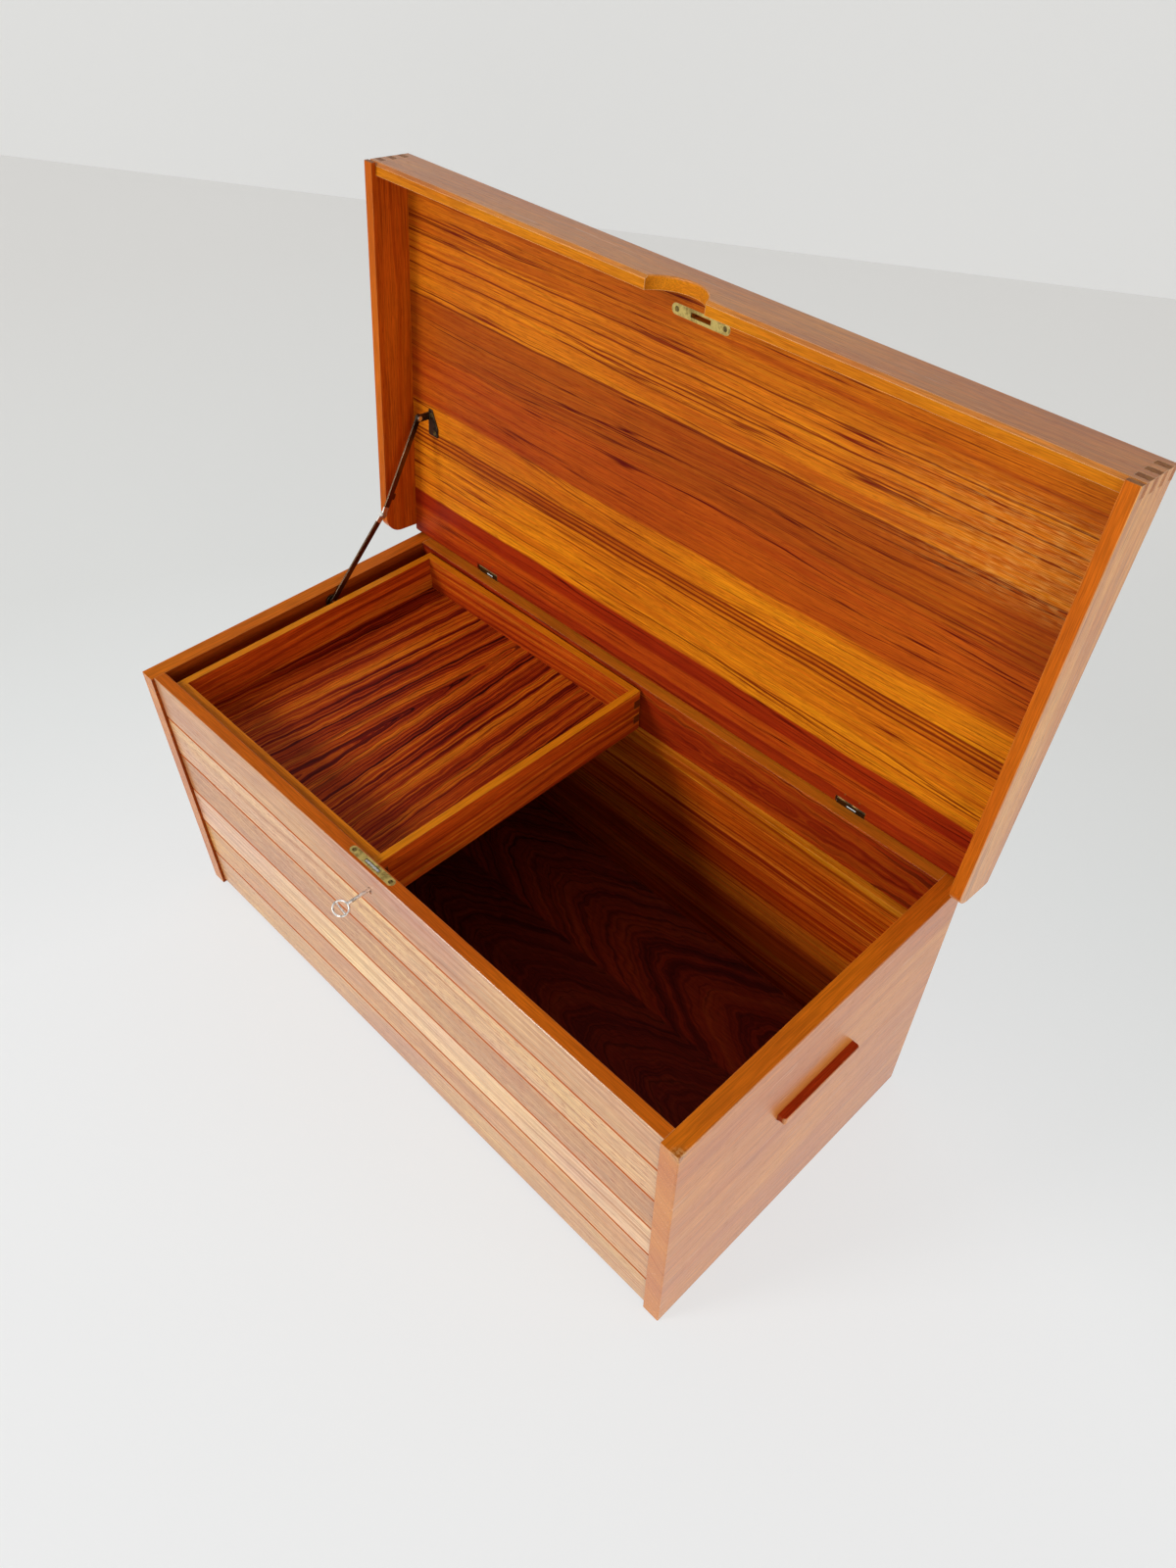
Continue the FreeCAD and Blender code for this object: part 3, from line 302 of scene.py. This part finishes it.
class Teak(Finish):
    """Oiled teak. The grain runs along one axis and the widest face looks along another.

    Each seed takes its piece from another part of the log.
    """

    def __init__(self, name, grain, face, tones, seed, on_lid, wander):
        super().__init__(name)
        self.tones = tones
        self.seed = seed
        self.wander = wander
        self.where = self.place(on_lid)
        self.spots = self.axes(self.where)
        self.looks = self.facing(on_lid)
        self.along = self.spots[grain]
        self.deep = self.spots[face]
        self.across = self.spots[({"x", "y", "z"} - {grain, face}).pop()]
        self.fibre = self.bundle(self.along + seed * LOG_LENGTH, self.across + seed * LOG_WIDTH, self.deep)
        self.drift = (self.strands(0.0016, 0.009, 1) - 0.5) * (60 * wander)
        self.sway = (self.strands(0.008, 0.03, 2) - 0.5) * (8 * wander)
        self.hair = self.strands(0.025, 0.9, 2, 0.65)
        self.pore = self.span(self.strands(0.07, 1.0, 1), 0.57, 0.68)
        turned_out = self.looks["x"] * self.spots["x"] + self.looks["y"] * self.spots["y"]
        self.outward = self.span(turned_out, 60, 120)
        self.end_grain = self.square_to(grain)
        self.figure = None

    def strands(self, along, across, detail, rough=0.5):
        """Noise drawn out along the grain, by how fine it is along and across."""
        return self.noise(self.stretch(self.fibre, (along, across, across)), detail, rough)

    def square_to(self, axis):
        """Faces that look along one axis, either way."""
        return self.span(abs(self.looks[axis]), 0.8, 0.95)

    def cover(self, amount, colour):
        self.figure = self.mix(amount, self.figure, colour)

    def stain(self, colour):
        self.figure = self.mix(1, self.figure, colour, "MULTIPLY")

    def straight_rings(self):
        return self.across + self.drift + self.sway + self.deep * RING_LEAN

    def arched_rings(self, centre, half, roundness, lean):
        """Rings that close in arches, one beside the other."""
        fold = (self.across + self.drift * 0.4 - centre).folded(half)
        ripple = (self.strands(0.03, 0.06, 1) - 0.5) * (9 * self.wander)
        bow = (fold * fold + roundness ** 2) ** 0.5
        return bow + self.along * lean + self.sway + ripple + self.deep * RING_LEAN

    def stave_tint(self, staves):
        """Each stave's own tone, from its lower edge on."""
        tint = paint("FFFFFF")
        for edge, tone in staves:
            past = self.span(self.across + self.sway * 0.8, edge - STAVE_JOINT, edge + STAVE_JOINT)
            tint = self.mix(past, tint, share(tone, self.tones[2]))
        return tint

    def growth(self, rings, width, detail, rough, turn):
        """Growth rings, seen as long stripes."""
        spot = self.bundle(rings / width, self.along * RING_RUN + (turn + self.seed * RING_TURN))
        return self.noise(spot, detail, rough)

    def dark_lines(self, late, broad, lines, marks):
        """Thin late wood, and the lines that are listed."""
        thin = (1 - self.span(abs(late - 0.5), 0.0, 0.028)) * self.span(broad, 0.42, 0.55) * lines
        for place, width in marks:
            line = 1 - self.span(abs(self.across + self.sway - place), width * 0.3, width)
            thin = thin.or_more(line * 0.85)
        return thin

    def shade(self):
        """Streaks, and clouds in which the wood turns redder as it darkens."""
        streak = self.span(self.hair, 0.3, 0.7, 0.78, 1.18)
        cloud = self.strands(0.004, 0.011, 2) - 0.5
        return self.node("ShaderNodeCombineColor", {},
                         {0: streak * (cloud * 0.5 + 1), 1: streak * (cloud * 0.9 + 1), 2: streak})

    def add_flecks(self, start, end, low, high):
        """Short pale flecks in one corner of a panel."""
        chatter = self.span(self.strands(0.06, 1.7, 0), 0.52, 0.64)
        rising = self.span(self.across, low, low + FLECK_FADE)
        falling = self.span(self.across, high, high - FLECK_FADE)
        self.cover(chatter * self.span(self.along, start, end) * rising * falling * 0.4, paint(FLECK))

    def add_scuffs(self):
        scuff = self.span(self.strands(0.012, 0.25, 2, 0.6), 0.66, 0.74)
        self.cover(scuff * self.outward * 0.35, paint(SCUFF))

    def add_dent(self, place):
        """A chipped place, down to bare and to dirty wood."""
        near = self.distance(self.where, place)
        chipped = self.span(self.specks(self.where, 0.35, 3), 0.42, 0.56)
        inside = self.span(near, DENT_OUTSIDE, DENT_INSIDE, 0, 0.6)
        self.cover(inside, self.mix(chipped, paint(DIRTY_WOOD), paint(BARE_WOOD)))

    def add_wear_and_painted_highlight(self, edge_band, painted_highlight):
        # Rubbed edges turn toward the lightest tone: wear, and a painted highlight along the edges.
        wear_and_highlight = edge_band * self.span(self.strands(0.03, 0.05, 2), 0.35, 0.65, 0.1, 0.6)
        # A highlight tone, where given, lays a painted highlight along the rounded edges instead.
        if painted_highlight:
            wear_and_highlight = self.span(edge_band, 0.25, 0.6) * 0.8
        self.cover(wear_and_highlight, paint(painted_highlight or self.tones[3]))

    def groove(self, line):
        """Where a bevelled joint between two front boards is."""
        beside = self.span(abs(self.across - line), GROOVE_MIDDLE, GROOVE_SIDE)
        return (1 - beside) * self.span(self.deep, FRONT_FACE + GROOVE_BED, FRONT_FACE + GROOVE_START) * 0.9


def teak(name, grain, face, tones, seed, on_lid=False, pitch=7, contrast=1, wander=1, arches=None, staves=(),
         marks=(), flecks=None, pores=0.35, lines=0.5, polish=0, grooves=(), ends=0.5, rim=None, inner=None,
         dent=None, painted_highlight=None):
    """Oiled teak in four tones, from its darkest lines to its lightest wood.

    The rings are about a pitch apart, and arches say where they close. A stave starts at its edge, and a mark
    is a dark line with a place and a width. Polish is the shine of the outside. The inner tone goes on the
    faces that don't look outward; on most pieces it is darker, painted shade of the inside. The rim tone goes
    on the wood that looks up or down, a lit copy of the same wood: painted light. A painted highlight is a
    pale tone along the edges.
    """
    wood = Teak(name, grain, face, tones, seed, on_lid, wander)
    darkest = paint(tones[0])
    rings = wood.arched_rings(*arches) if arches else wood.straight_rings()
    for edge, _ in staves:
        rings = rings + (wood.across > edge) * STAVE_SHIFT
    broad = wood.growth(rings, pitch * 4, detail=1, rough=0.5, turn=0)
    fine = wood.growth(rings, pitch, detail=4, rough=0.75, turn=9)
    late = wood.growth(rings, pitch * 2.3, detail=2, rough=0.6, turn=21)
    body = (broad * 0.3 + fine * 0.7 - 0.5) * contrast + 0.5
    wood.figure = wood.ramp(body, list(zip(TONE_PLACES, tones)))
    wood.cover(wood.dark_lines(late, broad, lines, marks), darkest)
    if staves:
        wood.stain(wood.stave_tint(staves))
    shade = wood.shade()
    wood.stain(shade)
    wood.cover(wood.pore * pores, darkest)
    if flecks:
        wood.add_flecks(*flecks)
    # Painted shade: faces that don't look outward, the inside above all, take the inner tone, darker on most
    # pieces.
    if inner:
        wood.cover(1 - wood.outward, wood.mix(1, wood.figure, share(inner, tones[2]), "MULTIPLY"))
    # Painted light: faces that look up or down take the rim tone, a lit copy of the same wood.
    if rim:
        wood.cover(wood.square_to("z") * 0.8, wood.mix(1, paint(rim), shade, "MULTIPLY"))
    wood.cover(wood.end_grain * ends, paint(END_GRAIN))
    if polish:
        wood.add_scuffs()
    if dent:
        wood.add_dent(dent)
    edge_band, soft_edges = wood.edge_band_and_normal(TEAK_EDGE_BAND)
    # Wear and painted highlight along the edges.
    wood.add_wear_and_painted_highlight(edge_band, painted_highlight)
    shine = (wood.outward * polish + edge_band * 0.4) * (1 - wood.end_grain * min(1, ends * 1.4))
    for line in grooves:
        groove = wood.groove(line)
        wood.cover(groove, paint(GROOVE_TONE))
        shine = shine * (1 - groove)
    wood.set(Base_Color=wood.figure, Specular_IOR_Level=0.06,
             Roughness=wood.span(wood.hair, 0.25, 0.75, 0.38, 0.5) + wood.pore * 0.15)
    wood.set(Coat_Weight=shine, Coat_Roughness=0.25, Coat_IOR=1.6)
    wood.set_relief(wood.hair * 0.5 - wood.pore * 0.6 + fine * 0.3, 0.3, 0.3, soft_edges)
    return wood.material


def dress_lid():
    staves = [(-249, "BA600C"), (-189, "CC7010"), (-111, "A84E0B"), (-44, "B24E0C"), (26, "D4780F"),
              (63, "C4650D"), (84, "DA7C10"), (159, "9A2A08"), (184, "B4460C"), (209, "9C300A")]
    marks = [(-186, 1.5), (-165, 1.5), (-148, 1.4), (-112, 2), (64, 2), (69, 1.6), (75, 2.4), (82, 1.6),
             (140, 1.2)]
    dress(teak("teak_lid_panel", "x", "z", ("741A04", "BE5A0C", "D67810", "E69014"), 1, on_lid=True,
               pitch=3.6, contrast=0.62, wander=0.7, staves=staves, marks=marks,
               flecks=(180, 460, -215, -80), lines=1), "lid_panel")
    # Painted highlight along the front rail's edges.
    dress(teak("teak_lid_front_rail", "x", "y", ("A04A14", "C06C1C", "D07E26", "DC9034"), 2, on_lid=True,
               contrast=0.4, lines=0.1, polish=0.65, ends=0.3, inner="CE7A0F", painted_highlight="F0C48A"),
          "lid_front_rail")
    dress(teak("teak_lid_side_rails", "y", "x", ("9A4A18", "C27028", "DE9444", "E6A450"), 3, on_lid=True,
               contrast=0.6, polish=0.8, ends=0.6, inner="C4580E", rim="C26210"), "lid_left_rail",
          "lid_right_rail")


def dress_sides():
    dress(teak("teak_side_panels", "y", "x", ("9A4210", "C06A24", "D4843C", "DC9248"), 4, contrast=0.5,
               lines=0.2, polish=0.75, ends=0.12, inner="96400A", rim="D87212", dent=SIDE_PANEL_CORNER),
          "left_side_panel", "right_side_panel")
    # The grip ledges' dark red inner tone, on their tops, is painted shade.
    dress(teak("teak_grip_ledges", "y", "x", ("8A3A0C", "B66018", "CC7A34", "DC9040"), 25, polish=0.75,
               ends=0.3, inner="A8340A"), "left_grip_ledge", "right_grip_ledge")


def dress_front_boards():
    """Six boards that differ in tone and in how open their pores are. The fourth shows an arch."""
    # The pale board tones hold part of the front's sheen as painted sheen; how the boards differ is their
    # own.
    boards = [("D09E66", 0.6, None), ("D09554", 0.6, None), ("E8BC8F", 0.35, None),
              ("BE854E", 1, (172, 90, 5, 0.05)), ("DDAD79", 0.9, None), ("CA9666", 0.4, None)]
    for number, (tone, pores, arches) in enumerate(boards):
        dress(teak(f"teak_{BOARDS[number]}", "x", "y", ("9A4A1C", "B87A44", tone, "E4B67C"), 11 + number,
                   contrast=0.55, lines=0.3, pores=pores, arches=arches, polish=0.8, ends=0.2,
                   inner="A04A0C", rim="D2690F", grooves=BOARD_FEET[number:number + 2]), BOARDS[number])


def dress_back_and_bottom():
    # Painted highlight along the back rail's edges.
    dress(teak("teak_back_rail", "x", "y", ("4E0C06", "7E1C06", "9C300A", "B4500E"), 21,
               arches=(365, 120, 6, 0.03), lines=0.7, polish=0.8, rim="CC7418", painted_highlight="ECC08A"),
          "back_rail")
    staves = [(4, "B8480A"), (60, "C4560C"), (105, "B4460A"), (140, "D2620E"), (182, "CC540C"),
              (230, "E07014"), (270, "D05C0C"), (300, "E27416")]
    dress(teak("teak_back_panel", "x", "y", ("741806", "BC4208", "EC7A14", "F89A28"), 22, pitch=5,
               contrast=0.9, wander=0.5, lines=0.6, polish=0.8, staves=staves), "back_panel")
    dress(teak("teak_bottom", "x", "z", ("2A0C12", "66201E", "8E3220", "A84826"), 23, pitch=6, contrast=0.75,
               arches=(-170, 74, 24, -0.42), wander=1.4,
               staves=[(-230, "86301C"), (-96, "7C2C1A"), (52, "96341A")]), "bottom_panel")
    dress(teak("teak_runners", "x", "z", ("8A2E06", "B4500A", "D2760F", "E69A2A"), 24), "front_tray_runner",
          "back_tray_runner")


def dress_tray():
    dress(teak("teak_tray_long_walls", "x", "y", ("661406", "9A2E08", "BC4A0C", "D27A1C"), 31, ends=0.85,
               rim="E08410"), "tray_front", "tray_back")
    dress(teak("teak_tray_end_walls", "y", "x", ("6A1806", "A4360A", "CC4E0E", "DC8420"), 32, ends=0.85,
               rim="E08A10"), "tray_left", "tray_right")
    dress(teak("teak_tray_bottom", "y", "z", ("2A0606", "7C1A08", "BA480E", "D87814"), 33, pitch=4,
               contrast=1.35, wander=0.7, arches=(-225, 400, 4, 0.06), lines=0.7), "tray_bottom")


dress_lid()
dress_sides()
dress_front_boards()
dress_back_and_bottom()
dress_tray()


# Metals

METAL_EDGE_BAND = 0.4


def metal(name, tone, dull_tone, rough, patch, edge_tone=None, collar=None):
    """A plain metal with tarnish in patches, and an edge tone: rubbed metal, with painted highlight and
    painted shade on some pieces.
    """
    plate = Finish(name)
    where = plate.place()
    grit = plate.specks(where, 1.5, 2, 0.6)
    tarnish = plate.span(plate.specks(where, patch, 4, 0.65), 0.38, 0.66)
    colour = plate.mix(tarnish, paint(tone), paint(dull_tone))
    edge_band, soft_edges = plate.edge_band_and_normal(METAL_EDGE_BAND)
    # Edges take the edge tone: rubbed metal, and on the stay and the key painted highlight and painted shade.
    colour = plate.mix(edge_band * 0.6, colour, paint(edge_tone or tone))
    if collar:
        centre, reach, collar_tone = collar
        near = plate.span(plate.distance(where, centre), reach, reach - 1)
        colour = plate.mix(near, colour, paint(collar_tone))
    plate.set(Base_Color=colour, Metallic=1.0, Roughness=tarnish * 0.2 + grit * 0.1 + rough)
    plate.set_relief(grit, 0.15, 0.1, soft_edges)
    return plate.material


def dress_metals():
    dress(metal("aged_brass", "C9B26A", "8E7A45", 0.32, 0.12), "lock_face_plate", "keeper_plate")
    dress(metal("hinge_brass", "5A4426", "30241A", 0.34, 0.12, "7E643C"), "hinge_left_body_leaf",
          "hinge_left_lid_leaf", "hinge_right_body_leaf", "hinge_right_lid_leaf")
    dress(metal("pin_steel", "C8BCA4", "8A7C66", 0.22, 0.3), "hinge_left_pin", "hinge_right_pin")
    dress(metal("screw_brass", "8A7444", "4E4024", 0.4, 0.3), "lock_plate_screws", "keeper_screws",
          "hinge_body_screws", "hinge_lid_brads", "stay_lid_screws", "stay_body_screws")
    # The key's dark edge tone is painted shade, a dark outline.
    dress(metal("bright_nickel", "FCFAF6", "A8A29A", 0.2, 0.3, "3A302A"), "key")
    dress(metal("plain_steel", "D0D0CE", "8C8A86", 0.3, 0.2), "lock_bolt", "lock_case")
    elbow_reach = 13
    elbow = (middle("stay_elbow_rivet_lower"), elbow_reach, "E8E4DC")
    # The stay's pale edge tone is painted highlight, partly rubbed bronzing.
    dress(metal("bronzed_stay", "6E5038", "221814", 0.26, 0.015, "F2DCB8", elbow), "stay_lower_arm",
          "stay_upper_arm")
    dress(metal("dark_bracket", "54463A", "241C16", 0.34, 0.1, "C8B48C"), "stay_body_bracket",
          "stay_lid_bracket")
    dress(metal("rivet_steel", "E8E4DC", "A8A098", 0.2, 0.3), "stay_body_rivet", "stay_lid_rivet",
          "stay_elbow_rivet_lower", "stay_elbow_rivet_upper")


dress_metals()


# Studio, in metres

SHEET_SIZE = 14
FLOOR_DROP = 0.0005
WALL_PLACE = (-1.8, 2.05, SHEET_SIZE / 2)
WALL_TURN = (math.radians(90), 0, math.radians(29))
# Centre of the floor's painted pool of light.
BRIGHT_SPOT = (0.5, -0.9, 0)
FADE_LENGTH = 4
SHADOW_SHARE = 0.25
CHEST_MIDDLE = (0, 0, 0.3)
LAMPS = {
    "key_left": {"place": (-2.3, -4.7, 3.2), "aim": CHEST_MIDDLE, "size": 2.0, "power": 192},
    "low_front": {"place": (-0.8, -5.0, 1.3), "aim": CHEST_MIDDLE, "size": 2.2, "power": 12},
    "front_right": {"place": (3.6, -2.6, 1.25), "aim": CHEST_MIDDLE, "size": 1.8, "power": 52},
    "back_right": {"place": (4.2, 1.3, 1.2), "aim": (0.4, 0, 0.2), "size": 2.0, "power": 36},
}


def pale_surface(piece, near, far):
    """A surface with a painted pool of light, brightest about a spot in front and darker away from it. It
    shows mostly as its own tone, so shadows stay faint.
    """
    pale = Finish(piece.name)
    away = pale.distance(pale.node("ShaderNodeTexCoord", out=3), BRIGHT_SPOT)
    # Painted light: the tone fades with distance from the bright spot.
    tone = pale.ramp(away / FADE_LENGTH, [(0.27, near[0]), (0.4, near[1]), (0.5, near[2]), (0.9, far)])
    pale.set(Base_Color=tone, Roughness=0.7, Specular_IOR_Level=0.2)
    glow = pale.node("ShaderNodeEmission", {}, {"Color": tone, "Strength": 1})
    lit = Wire(pale, pale.shader.outputs[0])
    both = pale.node("ShaderNodeMixShader", {}, {0: pale.seen_rays() * (1 - SHADOW_SHARE), 1: lit, 2: glow})
    pale.feed(pale.tree.nodes["Material Output"].inputs["Surface"], both)
    piece.data.materials.append(pale.material)


def pale_sheet(name, place, turn):
    bpy.ops.mesh.primitive_plane_add(size=SHEET_SIZE, location=place, rotation=turn)
    bpy.context.object.name = name
    return bpy.context.object


def lay_floor_and_wall():
    bpy.ops.object.select_all(action="DESELECT")
    floor = pale_sheet("studio_floor", (0, 0, -FLOOR_DROP), (0, 0, 0))
    wall = pale_sheet("studio_wall", WALL_PLACE, WALL_TURN)
    pale_surface(floor, ("F0F1F1", "E6E8E7", "E0E1DF"), "DDDCD9")
    pale_surface(wall, ["E4E4E2"] * 3, "E2E2E0")


def light_room():
    """A dim even light on the chest, under a pale room that only shows."""
    world = bpy.data.worlds.new("studio")
    bpy.context.scene.world = world
    world.use_nodes = True
    room = Shading(world.node_tree)
    soft = room.node("ShaderNodeBackground", {}, {"Color": paint("F6F6F8"), "Strength": 0.32})
    pale = room.node("ShaderNodeBackground", {}, {"Color": paint("DCDCDA"), "Strength": 1})
    both = room.node("ShaderNodeMixShader", {}, {0: room.seen_rays(), 1: soft, 2: pale})
    room.feed(world.node_tree.nodes["World Output"].inputs["Surface"], both)


def hang_lamp(name, place, aim, size, power):
    data = bpy.data.lights.new(name, "AREA")
    data.shape = "DISK"
    data.size = size
    data.energy = power
    lamp = bpy.data.objects.new(name, data)
    bpy.context.scene.collection.objects.link(lamp)
    lamp.location = place
    lamp.rotation_euler = (Vector(aim) - Vector(place)).to_track_quat("-Z", "Y").to_euler()


lay_floor_and_wall()
light_room()
for lamp_name, lamp in LAMPS.items():
    hang_lamp(lamp_name, **lamp)
bpy.context.scene.view_settings.view_transform = "Standard"
